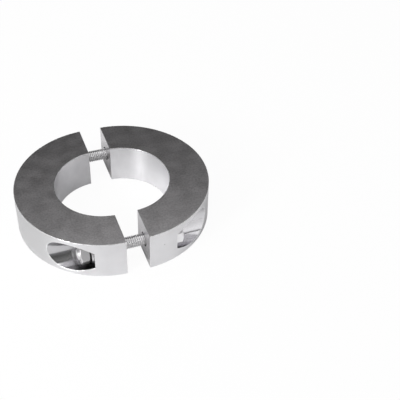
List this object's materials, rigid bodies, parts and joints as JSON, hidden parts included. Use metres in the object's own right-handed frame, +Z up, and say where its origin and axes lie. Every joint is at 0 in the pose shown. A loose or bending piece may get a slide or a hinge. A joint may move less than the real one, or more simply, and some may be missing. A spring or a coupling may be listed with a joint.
{
  "type": "sacrificial anode",
  "caption": "Split collar anode that clamps round a propeller shaft: machined half rings drawn together by hexagon screws in counterbored pockets.",
  "frame": {"origin": "middle of the collar as pictured, with its halves apart, on the bottom face", "axes": "+X along the screws from the half with the nuts to the half with the heads, +Z up along the shaft's axis, +Y across the screws"},
  "size_m": [0.0982, 0.09, 0.021],
  "materials": {
    "anode_alloy": "bright turned and milled outside, bore, split faces and pockets; dull grey sawn flat faces",
    "stainless": "plain stainless fasteners"
  },
  "bodies": {
    "root": {"half_ring_left": "anode_alloy", "half_ring_right": "anode_alloy", "bolt_front": "stainless", "bolt_rear": "stainless", "washer_front": "stainless", "washer_rear": "stainless", "nut_front": "stainless", "nut_rear": "stainless"}
  },
  "joints": []
}
